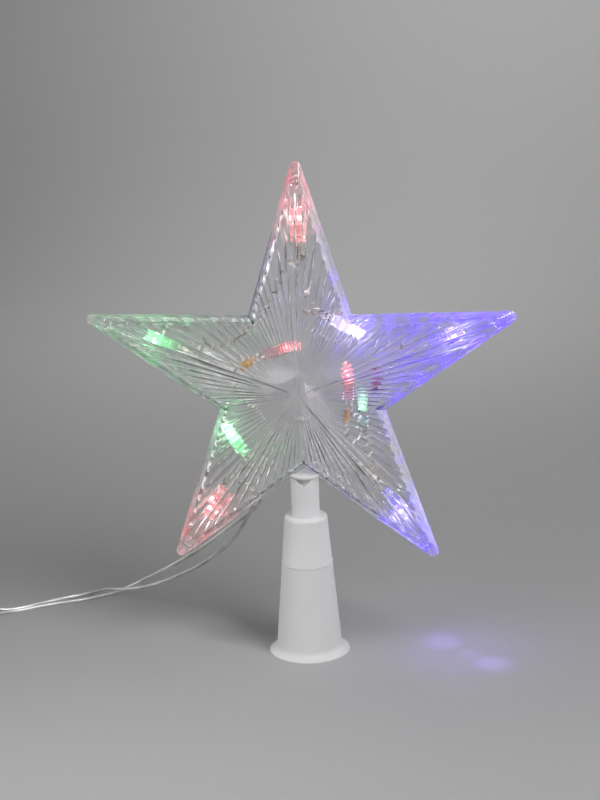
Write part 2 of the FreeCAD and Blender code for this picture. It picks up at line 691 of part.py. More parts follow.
def coil(label, level):
    """Closed ring of the coil's outer shape; level 0 lies on the floor, level 1 on top of it."""
    body = new_body(label)
    sketch = new_sketch(body, "XZ_Plane", label + "_profile")
    inner = size("coil_mean_radius") - size("coil_width") / 2.0
    outer = size("coil_mean_radius") + size("coil_width") / 2.0
    tall = size("coil_layer_height")
    points = [(inner, 0), (outer, 0), (outer, tall), (inner, tall)]
    bound = [
        (0, "X", "Sizes.coil_mean_radius - Sizes.coil_width / 2"), (0, "Y", "0"),
        (1, "X", "Sizes.coil_mean_radius + Sizes.coil_width / 2"), (1, "Y", "0"),
        (2, "X", "Sizes.coil_mean_radius + Sizes.coil_width / 2"), (2, "Y", "Sizes.coil_layer_height"),
        (3, "X", "Sizes.coil_mean_radius - Sizes.coil_width / 2"), (3, "Y", "Sizes.coil_layer_height"),
    ]
    closed_profile(sketch, points, bound)
    revolve(body, sketch, label + "_turned")
    body.Placement = Placement(Vector(COIL_CENTRE[0], COIL_CENTRE[1], 0), Rotation())
    body.setExpression("Placement.Base.z", "%d * Sizes.coil_layer_height" % level)


TAIL_GAP = 1.05
TAIL_A = [
    (-199.0, 33.4, 5.4), (-206.0, 33.0, 5.8), (-213.0, 33.6, 6.5), (-219.5, 34.2, 6.9),
    (PLUG_TAIL[0], PLUG_TAIL[1] + TAIL_GAP, PLUG_AXIS_HEIGHT),
]
TAIL_B = [
    (-199.0, 33.0, 12.0), (-206.0, 31.4, 12.2), (-213.0, 30.8, 9.6), (-219.5, 32.0, 7.4),
    (PLUG_TAIL[0], PLUG_TAIL[1] - TAIL_GAP, PLUG_AXIS_HEIGHT),
]

add_tube("lead_wire_a", LEAD_A, size("lead_radius"))
add_tube("lead_wire_b", LEAD_B, size("lead_radius"))
coil("lead_coil_a", 0)
coil("lead_coil_b", 1)
add_tube("lead_tail_a", TAIL_A, size("lead_radius"))
add_tube("lead_tail_b", TAIL_B, size("lead_radius"))


# ---------------------------------------------------------------- plug
def cut_cornered_rectangle(sketch, half_width, half_height, corner):
    """Closed outline of a rectangle with cut corners about the sketch's origin."""
    points = [
        (half_width, corner - half_height), (half_width, half_height - corner),
        (half_width - corner, half_height), (corner - half_width, half_height),
        (-half_width, half_height - corner), (-half_width, corner - half_height),
        (corner - half_width, -half_height), (half_width - corner, -half_height),
    ]
    closed_profile(sketch, points)


def plug_body():
    """Flat two-pin plug lying on its side, its cable end towards the coil."""
    body = new_body("plug_body")
    sections = [
        (0.0, size("plug_tail_width"), size("plug_tail_thick"), 2.0),
        (9.0, size("plug_tail_width") + 5.0, size("plug_tail_thick") + 2.0, 2.6),
        (20.0, size("plug_width") - 3.0, size("plug_thick"), 3.6),
        (size("plug_length"), size("plug_width"), size("plug_thick"), 4.2),
    ]
    sketches = []
    for index, (depth, width, thick, corner) in enumerate(sections):
        sketch = new_sketch(body, "XY_Plane", "plug_section_%d" % index)
        sketch.AttachmentOffset = Placement(Vector(0, 0, depth), Rotation())
        cut_cornered_rectangle(sketch, width / 2.0, thick / 2.0, corner)
        sketches.append(sketch)
    sketches[-1].setExpression("AttachmentOffset.Base.z", "Sizes.plug_length")
    loft = body.newObject("PartDesign::AdditiveLoft", "plug_loft")
    loft.Profile = sketches[0]
    loft.Sections = sketches[1:]
    loft.Ruled = True
    body.Placement = plug_placement(0.0)


def plug_placement(depth):
    """The plug's own +Z runs along -X, its width along Y and its thickness along Z."""
    turn = Rotation(Vector(0, 1, 0), -90.0).multiply(Rotation(Vector(0, 0, 1), 90.0))
    return Placement(Vector(PLUG_TAIL[0] - depth, PLUG_TAIL[1], PLUG_AXIS_HEIGHT), turn)


def plug_pins():
    pins = []
    for side in (-1, 1):
        pin = doc.addObject("Part::Cylinder", "plug_pin_%d" % ((side + 1) // 2))
        pin.setExpression("Radius", "Sizes.plug_pin_radius")
        pin.setExpression("Height", "Sizes.plug_pin_length")
        beside = Vector(side * size("plug_pin_spacing") / 2.0, 0, 0)
        centre = plug_placement(size("plug_length")).multVec(beside)
        pin.Placement = Placement(centre, Rotation(Vector(0, 1, 0), -90.0))
        pins.append(pin)
    pair = doc.addObject("Part::Compound", "plug_pins")
    pair.Links = pins
    pair.Label = "plug_pins"
    made.append(pair)


plug_body()
plug_pins()

# ---------------------------------------------------------------- check and write
doc.recompute()
for item in doc.Objects:
    if "Invalid" in item.State or "Error" in item.State:
        raise RuntimeError("%s failed: %s" % (item.Name, item.State))
for item in made:
    shape = item.Shape
    if shape.isNull() or not shape.isValid():
        raise RuntimeError("%s has no valid shape" % item.Label)
    print("%-26s solids %d volume %.1f" % (item.Label, len(shape.Solids), shape.Volume))
    shape.exportStep("parts/%s.step" % item.Label)
print("nodes written:", len(made))
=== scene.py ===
# Looks of the light-up star tree topper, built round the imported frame. Metres, +Z up, the star faces -Y.
import bmesh
import bpy
import math
import numpy as np
from mathutils import Matrix, Vector


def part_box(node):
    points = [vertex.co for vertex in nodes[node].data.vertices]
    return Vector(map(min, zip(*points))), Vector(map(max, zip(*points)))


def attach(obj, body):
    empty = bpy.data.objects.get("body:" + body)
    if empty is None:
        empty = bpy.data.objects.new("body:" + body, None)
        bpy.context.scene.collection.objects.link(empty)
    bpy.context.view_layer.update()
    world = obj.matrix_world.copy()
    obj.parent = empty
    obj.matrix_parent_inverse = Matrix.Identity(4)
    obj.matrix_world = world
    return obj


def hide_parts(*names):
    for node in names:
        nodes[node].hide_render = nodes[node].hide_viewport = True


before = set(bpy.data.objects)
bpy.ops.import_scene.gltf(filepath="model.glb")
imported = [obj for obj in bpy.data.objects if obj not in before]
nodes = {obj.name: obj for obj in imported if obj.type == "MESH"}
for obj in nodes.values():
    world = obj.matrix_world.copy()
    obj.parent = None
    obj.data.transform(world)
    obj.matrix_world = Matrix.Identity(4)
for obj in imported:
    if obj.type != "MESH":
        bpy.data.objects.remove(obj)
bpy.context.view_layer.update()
scene = bpy.context.scene
MM = 0.001

# ---------------------------------------------------------------- sizes that several pieces share
shell_low, shell_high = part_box("front_shell")
ARMS = 5
ARM_STEP = 2.0 * math.pi / ARMS
TIP_RADIUS = 110.0 * MM
STAR_CENTRE = Vector((0.0, 0.0, shell_high.z - TIP_RADIUS))
HUB_DEPTH = -shell_low.y
NECK_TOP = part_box("tree_cone")[1].z


# ---------------------------------------------------------------- camera
CAMERA_TARGET = Vector((-0.0011, -0.0001, 0.1313))
CAMERA_ELEVATION = math.radians(16.255)
CAMERA_AZIMUTH = math.radians(5.81)
CAMERA_DISTANCE = 1.099
CAMERA_ROLL = math.radians(1.796)
CAMERA_LENS = 100.97
CAMERA_SENSOR = 36.0


def make_camera():
    """Camera set by its angles round the target, rolled slightly about its own axis."""
    back = Vector((
        math.sin(CAMERA_AZIMUTH) * math.cos(CAMERA_ELEVATION),
        -math.cos(CAMERA_AZIMUTH) * math.cos(CAMERA_ELEVATION),
        math.sin(CAMERA_ELEVATION),
    ))
    right = Vector((math.cos(CAMERA_AZIMUTH), math.sin(CAMERA_AZIMUTH), 0.0))
    up = back.cross(right)
    rolled_right = right * math.cos(CAMERA_ROLL) - up * math.sin(CAMERA_ROLL)
    rolled_up = right * math.sin(CAMERA_ROLL) + up * math.cos(CAMERA_ROLL)
    data = bpy.data.cameras.new("camera")
    data.sensor_width = CAMERA_SENSOR
    data.lens = CAMERA_LENS
    camera = bpy.data.objects.new("camera", data)
    scene.collection.objects.link(camera)
    turn = Matrix((rolled_right, rolled_up, back)).transposed()
    camera.matrix_world = Matrix.Translation(CAMERA_TARGET + back * CAMERA_DISTANCE) @ turn.to_4x4()
    scene.camera = camera


make_camera()


# ---------------------------------------------------------------- materials
def new_material(name, **values):
    """Principled material; values name its sockets with underscores for spaces."""
    material = bpy.data.materials.new(name)
    material.use_nodes = True
    shader = material.node_tree.nodes["Principled BSDF"]
    for key, value in values.items():
        shader.inputs[key.replace("_", " ")].default_value = value
    return material


def add_node(material, kind, **settings):
    """Node whose settings name either its sockets or its properties."""
    node = material.node_tree.nodes.new(kind)
    for key, value in settings.items():
        if key in node.inputs:
            node.inputs[key].default_value = value
        else:
            setattr(node, key, value)
    return node


def wire(material, source, output, target, entry):
    material.node_tree.links.new(source.outputs[output], target.inputs[entry])


def shader_of(material):
    return material.node_tree.nodes["Principled BSDF"]


def object_noise(material, scale, detail=2.0):
    """Noise texture read in the object's own coordinates."""
    place = add_node(material, "ShaderNodeTexCoord")
    noise = add_node(material, "ShaderNodeTexNoise", Scale=scale, Detail=detail)
    wire(material, place, "Object", noise, "Vector")
    return noise


def vary_level(material, source, output, socket, low, high):
    """Shader socket that goes from low to high as the source's output goes from 0 to 1."""
    level = add_node(material, "ShaderNodeMapRange")
    level.inputs["To Min"].default_value = low
    level.inputs["To Max"].default_value = high
    wire(material, source, output, level, "Value")
    wire(material, level, "Result", shader_of(material), socket)


def vary_roughness(material, noise, low, high):
    vary_level(material, noise, "Fac", "Roughness", low, high)


def add_bump(material, noise, strength, distance):
    bump = add_node(material, "ShaderNodeBump", Strength=strength, Distance=distance)
    wire(material, noise, "Fac", bump, "Height")
    wire(material, bump, "Normal", shader_of(material), "Normal")


def vary_colour(material, noise, dark, light, socket="Base Color", start=0.3, end=0.7):
    """Colour socket that goes from dark to light between two values of the noise."""
    ramp = add_node(material, "ShaderNodeValToRGB")
    ramp.color_ramp.elements[0].color = (*dark, 1.0)
    ramp.color_ramp.elements[1].color = (*light, 1.0)
    ramp.color_ramp.elements[0].position = start
    ramp.color_ramp.elements[1].position = end
    wire(material, noise, "Fac", ramp, "Fac")
    wire(material, ramp, "Color", shader_of(material), socket)


def let_shadow_rays_through(material, share):
    """Shadow rays cross this clear plastic, dimmed at each surface, instead of stopping at it."""
    path = add_node(material, "ShaderNodeLightPath")
    open_way = add_node(material, "ShaderNodeBsdfTransparent", Color=(share, share, share, 1.0))
    choice = add_node(material, "ShaderNodeMixShader")
    wire(material, path, "Is Shadow Ray", choice, "Fac")
    material.node_tree.links.new(shader_of(material).outputs["BSDF"], choice.inputs[1])
    material.node_tree.links.new(open_way.outputs["BSDF"], choice.inputs[2])
    wire(material, choice, "Shader", material.node_tree.nodes["Material Output"], "Surface")


SHELL_SHADOW_SHARE = 0.58


def shell_material():
    """Clear polished polystyrene; the lamps' light in it comes from the mesh attributes glow and tint."""
    material = new_material("clear_shell", Roughness=0.02, IOR=1.56, Transmission_Weight=1.0,
                            Emission_Strength=1.0)
    let_shadow_rays_through(material, SHELL_SHADOW_SHARE)
    for attribute, socket in (("tint", "Base Color"), ("glow", "Emission Color")):
        source = add_node(material, "ShaderNodeAttribute", attribute_name=attribute)
        wire(material, source, "Color", shader_of(material), socket)
    frost = add_node(material, "ShaderNodeAttribute", attribute_name="frost")
    vary_level(material, frost, "Fac", "Transmission Weight", 1.0, 0.85)
    vary_level(material, frost, "Fac", "Roughness", 0.02, 0.15)
    return material


# ---------------------------------------------------------------- mesh helpers
ON_AXIS = 1e-9


def mesh_object(name, points, faces, material, body):
    mesh = bpy.data.meshes.new(name)
    mesh.from_pydata([tuple(p) for p in points], [], faces)
    mesh.validate()
    piece = bpy.data.objects.new(name, mesh)
    scene.collection.objects.link(piece)
    piece.data.materials.append(material)
    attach(piece, body)
    return piece


def smooth(piece, degrees):
    piece.data.shade_smooth()
    piece.data.set_sharp_from_angle(angle=math.radians(degrees))


def face_outward(mesh):
    work = bmesh.new()
    work.from_mesh(mesh)
    bmesh.ops.recalc_face_normals(work, faces=work.faces)
    work.to_mesh(mesh)
    work.free()


def lathe(profile, segments, place):
    """Closed solid turned about place's Z: profile is (radius, height), starting and ending on the axis."""
    points = []
    faces = []
    rings = []
    for radius, height in profile:
        if radius < ON_AXIS:
            rings.append([len(points)])
            points.append(place @ Vector((0.0, 0.0, height)))
            continue
        ring = []
        for step in range(segments):
            angle = 2.0 * math.pi * step / segments
            ring.append(len(points))
            rim = Vector((radius * math.cos(angle), radius * math.sin(angle), height))
            points.append(place @ rim)
        rings.append(ring)
    for low, high in zip(rings[:-1], rings[1:]):
        for step in range(segments):
            after = (step + 1) % segments
            if len(low) == 1:
                faces.append((low[0], high[after], high[step]))
            elif len(high) == 1:
                faces.append((low[step], low[after], high[0]))
            else:
                faces.append((low[step], low[after], high[after], high[step]))
    return points, faces


def arc(centre, radius, start, end, steps):
    """Points on an arc of a profile, angles in degrees from the radial direction."""
    found = []
    for step in range(steps + 1):
        angle = math.radians(start + (end - start) * step / steps)
        found.append((centre[0] + radius * math.cos(angle), centre[1] + radius * math.sin(angle)))
    return found


def lathe_object(name, profile, segments, place, material, body, sharp=30.0):
    points, faces = lathe(profile, segments, place)
    piece = mesh_object(name, points, faces, material, body)
    face_outward(piece.data)
    smooth(piece, sharp)
    return piece


def upright(z):
    return Matrix.Translation(Vector((0.0, 0.0, z)))


def place_along(origin, direction):
    """Placement at the origin whose Z runs along the direction."""
    return Matrix.Translation(origin) @ direction.to_track_quat("Z", "Y").to_matrix().to_4x4()


# ---------------------------------------------------------------- lamps: places and colours
RED = Vector((1.0, 0.16, 0.18))
GREEN = Vector((0.16, 1.0, 0.32))
BLUE = Vector((0.20, 0.11, 1.0))
VIOLET = Vector((0.42, 0.34, 1.0))
PALE_GREEN = Vector((0.45, 1.0, 0.62))
LAMP_COLOURS = {
    "tip_top": RED,
    "tip_left": GREEN,
    "tip_lower_left": RED,
    "tip_lower_right": BLUE,
    "tip_right": BLUE,
    "notch_left": GREEN,
    "notch_right": VIOLET,
    "hub_upper": RED,
    "hub_side": RED,
    "hub_lower": PALE_GREEN,
}


def node_points(name):
    mesh = nodes[name].data
    found = np.zeros(len(mesh.vertices) * 3)
    mesh.vertices.foreach_get("co", found)
    return found.reshape(-1, 3)


def turned_axis(name, towards):
    """Middle, direction and half length of a turned node that is longer than it is wide."""
    points = node_points(name)
    middle = points.mean(axis=0)
    values, vectors = np.linalg.eigh(np.cov((points - middle).T))
    along = vectors[:, 2]
    if np.dot(along, node_points(towards).mean(axis=0) - middle) < 0.0:
        along = -along
    reach = (points - middle) @ along
    middle = middle + along * (reach.max() + reach.min()) / 2.0
    return Vector(middle), Vector(along), (reach.max() - reach.min()) / 2.0


HOLDER_LIP = 2.0 * MM
# each lamp's place, where its bulb leaves the holder, and its direction
LAMPS = {}
for lamp_name in LAMP_COLOURS:
    holder_middle, lamp_axis, half_length = turned_axis("holder_" + lamp_name, "bulb_" + lamp_name)
    LAMPS[lamp_name] = (holder_middle + lamp_axis * (half_length - HOLDER_LIP), lamp_axis)


# ---------------------------------------------------------------- star shells
EDGE_DISTANCE = 34.4 * MM
TIP_CENTRE = 107.2 * MM
TIP_ROUND = 2.8 * MM
HALF_TIP = math.asin((EDGE_DISTANCE - TIP_ROUND) / TIP_CENTRE)
TANGENT_ANGLE = math.atan2(TIP_ROUND * math.cos(HALF_TIP), TIP_CENTRE + TIP_ROUND * math.sin(HALF_TIP))
SEAM_GAP = 0.02 * MM
# share of the way from the centre to the outline, and depth from the seam
OUTER_PROFILE = [
    (1.0, 0.0), (0.927, 4.0 * MM), (0.06, HUB_DEPTH - 0.1 * MM), (0.0, HUB_DEPTH + 0.4 * MM),
]
INNER_PROFILE = [
    (0.949, 0.0), (0.872, 3.4 * MM), (0.06, HUB_DEPTH - 1.9 * MM), (0.0, HUB_DEPTH - 1.6 * MM),
]
OUTER_SHARES = [1.0, 0.975, 0.95, 0.927, 0.85, 0.7, 0.55, 0.4, 0.25, 0.12, 0.06, 0.03]
INNER_SHARES = [0.949, 0.925, 0.9, 0.872] + [0.86 - 0.028 * step for step in range(30)]
FLUTES_PER_ARM = 20
FLUTE_PITCH = ARM_STEP / FLUTES_PER_ARM
# points across one rib, and extra ones round a tip in degrees from the arm's centre line
FLUTE_SAMPLES = (0.0, 0.04, 0.12, 0.25, 0.38, 0.46, 0.5, 0.54, 0.62, 0.75, 0.88, 0.96)
TIP_SAMPLES = (0.25, 0.5, 0.75, 1.0, 1.2, 1.42)
SMALLEST_STEP = math.radians(0.04)
# distances from the centre between which the ribs rise, and between which each splits in two
RIB_RISE = (5.0 * MM, 24.0 * MM)
RIB_SPLIT = (66.0 * MM, 80.0 * MM)
RIB_STEEPNESS = 0.20
RIB_ROUNDNESS = 0.8
RIB_LIMIT = 0.9 * MM
SPLIT_RIB_SHARE = 0.6
RIB_END = 0.935
RIB_FADE = 0.10
WAVE_HEIGHT = 0.06 * MM


def outline_radius(offset):
    """Distance from the centre to the outline, at an angle from the nearest arm's centre line."""
    offset = abs(offset)
    if offset < TANGENT_ANGLE:
        side = TIP_CENTRE * math.sin(offset)
        return TIP_CENTRE * math.cos(offset) + math.sqrt(TIP_ROUND ** 2 - side ** 2)
    return EDGE_DISTANCE / math.cos(math.pi / 2.0 - HALF_TIP - offset)


def arm_offset(angle):
    """Signed angle from the nearest arm's centre line; one angle or an array of them."""
    return (angle - math.pi / 2.0 + ARM_STEP / 2.0) % ARM_STEP - ARM_STEP / 2.0


def depth_at(profile, share):
    shares = [entry[0] for entry in reversed(profile)]
    depths = [entry[1] for entry in reversed(profile)]
    return float(np.interp(share, shares, depths))


def ramp_between(value, low, high):
    return min(1.0, max(0.0, (value - low) / (high - low)))


def flute(angle, radius):
    """Height of the rounded ribs inside the shell: one row near the hub, split in two further out."""
    offset = arm_offset(angle)
    coarse = abs(math.sin(math.pi * offset / FLUTE_PITCH)) ** RIB_ROUNDNESS
    fine = abs(math.sin(2.0 * math.pi * offset / FLUTE_PITCH)) ** RIB_ROUNDNESS
    split = ramp_between(radius, *RIB_SPLIT)
    height = RIB_STEEPNESS * FLUTE_PITCH * radius * ramp_between(radius, *RIB_RISE)
    number = math.floor(offset / FLUTE_PITCH)
    uneven = 0.72 + 0.2 * math.sin(7.3 * number + 1.7)
    uneven += 0.2 * math.sin(1.9 * number + radius / (5.5 * MM))
    return min(RIB_LIMIT, height * uneven * ((1.0 - split) * coarse + split * SPLIT_RIB_SHARE * fine))


def waviness(angle, radius):
    """Slight unevenness of the moulded inside face."""
    x = radius * math.cos(angle) / MM
    z = radius * math.sin(angle) / MM
    crossed = math.sin(0.5 * x - 0.8 * z) * math.sin(0.35 * z + 2.0)
    return WAVE_HEIGHT * (math.sin(0.9 * x + 0.4 * z + 1.0) + crossed)


def ring_angles():
    """Angles round the star: close together at the sharp valleys between ribs and at the rounded tips."""
    offsets = {round((number + share) * FLUTE_PITCH - ARM_STEP / 2.0, 6)
               for number in range(FLUTES_PER_ARM) for share in FLUTE_SAMPLES}
    for degrees in TIP_SAMPLES:
        offsets |= {round(math.radians(degrees), 6), round(-math.radians(degrees), 6)}
    kept = []
    for offset in sorted(offsets):
        if not kept or offset - kept[-1] > SMALLEST_STEP:
            kept.append(offset)
    return [math.pi / 2.0 + arm * ARM_STEP + offset for arm in range(ARMS) for offset in kept]


def shell_mesh(side):
    """Closed half star, rear for side 1 and front for -1: outer facets, rim at the seam, ribs inside."""
    angles = ring_angles()
    count = len(angles)
    outer_count = len(OUTER_SHARES)
    points = []
    faces = []

    def place(share, angle, depth):
        radius = share * outline_radius(arm_offset(angle))
        return STAR_CENTRE + Vector((radius * math.cos(angle), side * depth, radius * math.sin(angle)))

    for share in OUTER_SHARES:
        depth = max(depth_at(OUTER_PROFILE, share), SEAM_GAP)
        points += [place(share, angle, depth) for angle in angles]
    for share in INNER_SHARES:
        fade = ramp_between(RIB_END - share, 0.0, RIB_FADE)
        for angle in angles:
            radius = share * outline_radius(arm_offset(angle))
            relief = (flute(angle, radius) + waviness(angle, radius)) * fade
            points.append(place(share, angle, max(depth_at(INNER_PROFILE, share) - relief, SEAM_GAP)))
    rings = [range(start, start + count) for start in range(0, len(points), count)]
    neighbours = [(row, row + 1) for row in range(len(rings) - 1) if row != outer_count - 1]
    for first, second in neighbours + [(0, outer_count)]:
        for step in range(count):
            after = (step + 1) % count
            faces.append((rings[first][step], rings[first][after], rings[second][after], rings[second][step]))
    for ring, profile in ((rings[outer_count - 1], OUTER_PROFILE), (rings[-1], INNER_PROFILE)):
        apex = len(points)
        points.append(STAR_CENTRE + Vector((0.0, side * profile[-1][1], 0.0)))
        faces += [(ring[step], ring[(step + 1) % count], apex) for step in range(count)]
    return points, faces


# sizes of the foot and stub at the neck, the pins and their bosses, the lamp cradles and the lead slot
FOOT_RADIUS = 7.8 * MM
FOOT_LOW = 92.2 * MM
FOOT_HIGH = 93.6 * MM
FOOT_ROOF = 0.8 * MM
FOOT_ROUND = 0.3 * MM
STUB_RADIUS = 5.4 * MM
STUB_LOW = 79.0 * MM
STUB_BORE = 4.2 * MM
NECK_ROOM = 7.15 * MM
BOSS_CIRCLE = 100.0 * MM
BOSS_RADIUS = 2.2 * MM
BOSS_LENGTH = 3.7 * MM
PIN_RADIUS = 1.1 * MM
PIN_BORE = 1.2 * MM
PIN_LENGTH = 2.4 * MM
CRADLE_CIRCLE = 71.4 * MM
CRADLE_WIDTH = 7.2 * MM
CRADLE_THICK = 1.2 * MM
CRADLE_LOW = 1.0 * MM
CRADLE_HIGH = 7.7 * MM
CRADLE_BORE = 3.06 * MM
LEAD_SLOT = (-0.0244, -0.0613)
LEAD_SLOT_SIZE = (8.4 * MM, 2.2 * MM, 6.4 * MM)
LEAD_SLOT_TILT = math.atan2(3.0, 4.0)
FOOT_STEPS = 72
PEG_STEPS = 28
PEG_ROUND = 0.25 * MM
GROOVE_STEPS = 40
# further out than any part of the star
PAST_ALL = 0.4

# how strongly and how far (mm) each lamp lights the plastic, round a point this far (mm) ahead of its base,
# and how deeply it tints what is seen through it
GLOWS = {
    "tip_top": (0.15, 16.0, 17.0, 0.30),
    "tip_left": (0.08, 26.0, 7.0, 0.20),
    "tip_lower_left": (0.14, 14.0, 15.0, 0.25),
    "tip_lower_right": (0.46, 14.0, 17.0, 0.80),
    "tip_right": (0.56, 42.0, 3.0, 0.95),
    "notch_left": (0.22, 11.0, 5.0, 0.25),
    "notch_right": (0.40, 18.0, 12.0, 0.55),
    "hub_upper": (0.015, 8.0, 5.0, 0.0),
    "hub_side": (0.02, 8.0, 5.0, 0.0),
    "hub_lower": (0.02, 7.0, 5.0, 0.0),
}
# share of the mesh points that glint round a lamp, how brightly, and from where and how far (mm)
GLINT_SHARE = 0.07
GLINT_LIGHT = 2.4
GLINT_AHEAD = 4.0
GLINT_REACH = 8.0
RIM_START = 0.86
RIM_FADE = 0.06
FROST_START = 0.95
FROST_FADE = 0.02
CLEAR_TINT = 0.975
MOST_TINT = 0.6


def patchiness(x, z, from_centre, offset):
    """Uneven light in the plastic: broad patches, broken into dashes along the ribs. Lengths in mm."""
    broad = 0.5 + 0.5 * np.sin(0.33 * x + 0.21 * z + 0.4) * np.sin(0.24 * x - 0.36 * z + 1.3)
    dashes = np.sin(0.9 * from_centre + 23.0 * np.sin(9.0 * offset))
    dashes = dashes * np.sin(0.37 * from_centre + 31.0 * offset)
    return (0.3 + 1.6 * broad ** 2) * (0.6 + 0.7 * np.clip(dashes, -0.6, 1.0))


def paint_glow(piece):
    """Light of the lamps caught in the plastic, as streaks along the ribs and brighter in the rim."""
    mesh = piece.data
    count = len(mesh.vertices)
    points = np.zeros(count * 3)
    mesh.vertices.foreach_get("co", points)
    points = points.reshape(-1, 3)
    across = points - np.array(STAR_CENTRE)
    offset = arm_offset(np.arctan2(across[:, 2], across[:, 0]))
    outline = np.array([outline_radius(value) for value in offset])
    from_centre = np.hypot(across[:, 0], across[:, 2])
    share = from_centre / outline
    streak = (1.0 - np.abs(np.sin(2.0 * math.pi * offset / FLUTE_PITCH))) ** 2
    rim = np.clip((share - RIM_START) / RIM_FADE, 0.0, 1.0)
    patch = patchiness(across[:, 0] / MM, across[:, 2] / MM, from_centre / MM, offset)
    scatter = np.sin(np.arange(count) * 12.9898 + 4.1) * 43758.5453
    glint = (scatter - np.floor(scatter) < GLINT_SHARE) * (rim < 0.5)
    glow = np.zeros((count, 4))
    glow[:, 3] = 1.0
    tint = np.full((count, 4), CLEAR_TINT)
    tint[:, 3] = 1.0
    for name, (weight, reach, ahead, depth) in GLOWS.items():
        base, direction = LAMPS[name]
        colour = np.array(LAMP_COLOURS[name])
        distance = np.linalg.norm(points - np.array(base + direction * ahead * MM), axis=1) / MM
        light = np.exp(-(distance / (reach * (1.0 + 0.3 * rim))) ** 2) * patch
        glow[:, :3] += weight * (light * (0.2 + 0.8 * streak + 0.25 * rim))[:, None] * colour
        taken = np.clip(depth * light * (0.35 + 0.9 * streak + 0.3 * rim), 0.0, MOST_TINT)
        tint[:, :3] *= 1.0 - taken[:, None] * (1.0 - colour)
        distance = np.linalg.norm(points - np.array(base + direction * GLINT_AHEAD * MM), axis=1) / MM
        sparkle = GLINT_LIGHT * min(1.0, 4.0 * weight) * glint * np.exp(-(distance / GLINT_REACH) ** 2)
        glow[:, :3] += sparkle[:, None] * (0.55 + 0.45 * colour)
    for name, values in (("glow", glow), ("tint", tint)):
        layer = mesh.color_attributes.new(name, "FLOAT_COLOR", "POINT")
        layer.data.foreach_set("color", values.ravel())
    near_foot = np.hypot(points[:, 0], points[:, 1]) < FOOT_RADIUS + 0.1 * MM
    near_foot &= points[:, 2] < FOOT_HIGH + 0.1 * MM
    frost = mesh.attributes.new("frost", "FLOAT", "POINT")
    frost.data.foreach_set("value", np.clip((share - FROST_START) / FROST_FADE, 0.0, 1.0) * ~near_foot)


CLEAR = shell_material()


def tool_solid(name, points, faces):
    """Solid that another one is cut with or joined to."""
    mesh = bpy.data.meshes.new(name)
    mesh.from_pydata([tuple(p) for p in points], [], faces)
    face_outward(mesh)
    tool = bpy.data.objects.new(name, mesh)
    scene.collection.objects.link(tool)
    return tool


def cut_or_join(piece, tool, operation):
    """Boolean of the piece with the tool, which is used up."""
    modifier = piece.modifiers.new(operation, "BOOLEAN")
    modifier.operation = operation
    modifier.solver = "MANIFOLD"
    modifier.object = tool
    graph = bpy.context.evaluated_depsgraph_get()
    made = bpy.data.meshes.new_from_object(piece.evaluated_get(graph))
    piece.modifiers.remove(modifier)
    piece.data = made
    bpy.data.objects.remove(tool)


def cylinder(radius, low, high, steps, place):
    return lathe([(0.0, low), (radius, low), (radius, high), (0.0, high)], steps, place)


def box_solid(low, high):
    xs, ys, zs = zip(low, high)
    corners = [Vector((x, y, z)) for x in xs for y in ys for z in zs]
    faces = [(0, 1, 3, 2), (4, 6, 7, 5), (0, 4, 5, 1), (2, 3, 7, 6), (0, 2, 6, 4), (1, 5, 7, 3)]
    return corners, faces


def placed_box(name, low, high, place):
    corners, faces = box_solid(low, high)
    return tool_solid(name, [place @ corner for corner in corners], faces)


def on_every_arm(name, points, faces):
    """One tool of separate copies of a solid, one on each arm; the solid stands on an arm along +Z."""
    all_points = []
    all_faces = []
    for arm in range(ARMS):
        turn = Matrix.Translation(STAR_CENTRE) @ Matrix.Rotation(arm * 2.0 * math.pi / ARMS, 4, "Y")
        start = len(all_points)
        all_points += [turn @ Vector(point) for point in points]
        all_faces += [tuple(index + start for index in face) for face in faces]
    return tool_solid(name, all_points, all_faces)


def pegs(name, radius, start, end):
    """Round peg along Y on every arm, at the pins' distance from the centre."""
    place = place_along(Vector((0.0, start, BOSS_CIRCLE)), Vector((0.0, end - start, 0.0)))
    length = abs(end - start)
    profile = [(0.0, 0.0), (radius, 0.0), (radius, length - PEG_ROUND), (radius - PEG_ROUND, length),
               (0.0, length)]
    return on_every_arm(name, *lathe(profile, PEG_STEPS, place))


def half_foot(side):
    """Round foot with the stub below it, cut off at the seam."""
    profile = [
        (0.0, STUB_LOW), (STUB_RADIUS - 0.5 * MM, STUB_LOW), (STUB_RADIUS, STUB_LOW + 0.8 * MM),
        (STUB_RADIUS, FOOT_LOW), (FOOT_RADIUS - FOOT_ROUND, FOOT_LOW), (FOOT_RADIUS, FOOT_LOW + FOOT_ROUND),
        (FOOT_RADIUS, FOOT_HIGH - FOOT_ROUND), (FOOT_RADIUS - FOOT_ROUND, FOOT_HIGH), (0.0, FOOT_HIGH),
    ]
    foot = tool_solid("foot_tool", *lathe(profile, FOOT_STEPS, upright(0.0)))
    low = (-PAST_ALL, min(0.0, -side * PAST_ALL), -PAST_ALL)
    high = (PAST_ALL, max(0.0, -side * PAST_ALL), PAST_ALL)
    cut_or_join(foot, tool_solid("half_tool", *box_solid(low, high)), "DIFFERENCE")
    return foot


def stub_bore():
    roof = FOOT_HIGH - FOOT_ROOF
    profile = [(0.0, STUB_LOW - 1.0 * MM), (STUB_BORE, STUB_LOW - 1.0 * MM), (STUB_BORE, roof - 0.5 * MM),
               (STUB_BORE - 0.5 * MM, roof), (0.0, roof)]
    return tool_solid("bore_tool", *lathe(profile, FOOT_STEPS, upright(0.0)))


